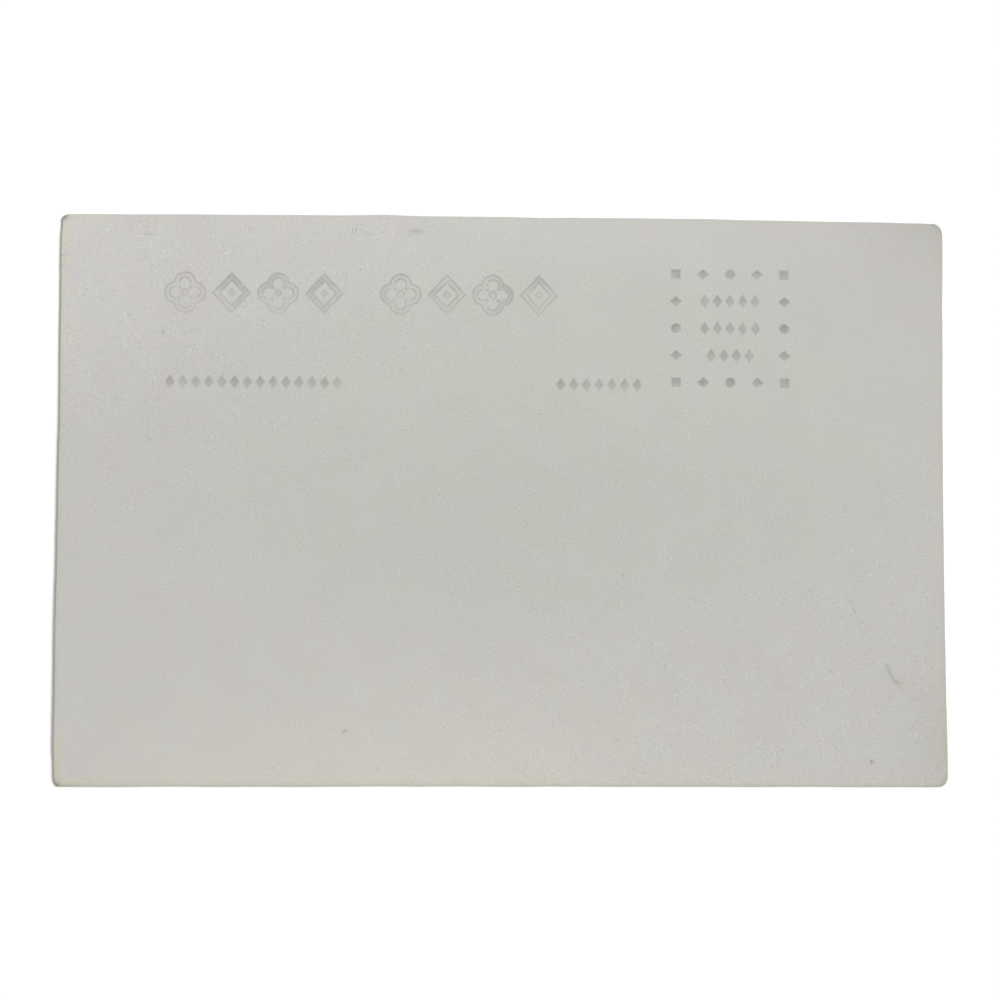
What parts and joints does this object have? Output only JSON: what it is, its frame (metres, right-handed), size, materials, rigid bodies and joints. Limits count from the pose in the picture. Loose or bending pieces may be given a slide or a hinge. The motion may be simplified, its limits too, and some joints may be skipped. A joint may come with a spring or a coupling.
{
  "type": "postcard",
  "caption": "Thin rectangular photographic postcard with worn corners; faint letterpress ornaments and a square of marks for the stamp leave room on its back for a message and an address.",
  "frame": {"origin": "middle of the picture side, which lies down on the surface", "axes": "+X along the long edge in reading direction, +Y towards the top edge, +Z out of the printed back"},
  "size_m": [0.1386, 0.0888, 0.0003],
  "materials": {
    "card_stock": "matte",
    "baryta": "matte",
    "silver_image": "satin",
    "clear_gelatin": "gloss",
    "printing_ink": "matte"
  },
  "bodies": {
    "root": {"card_base": "card_stock", "baryta_coat": "baryta", "image_emulsion": "silver_image", "gelatin_topcoat": "clear_gelatin", "heading_print_left": "printing_ink", "heading_print_right": "printing_ink", "message_caption_print": "printing_ink", "address_caption_print": "printing_ink", "stamp_frame_print": "printing_ink", "stamp_note_print": "printing_ink"}
  },
  "joints": []
}
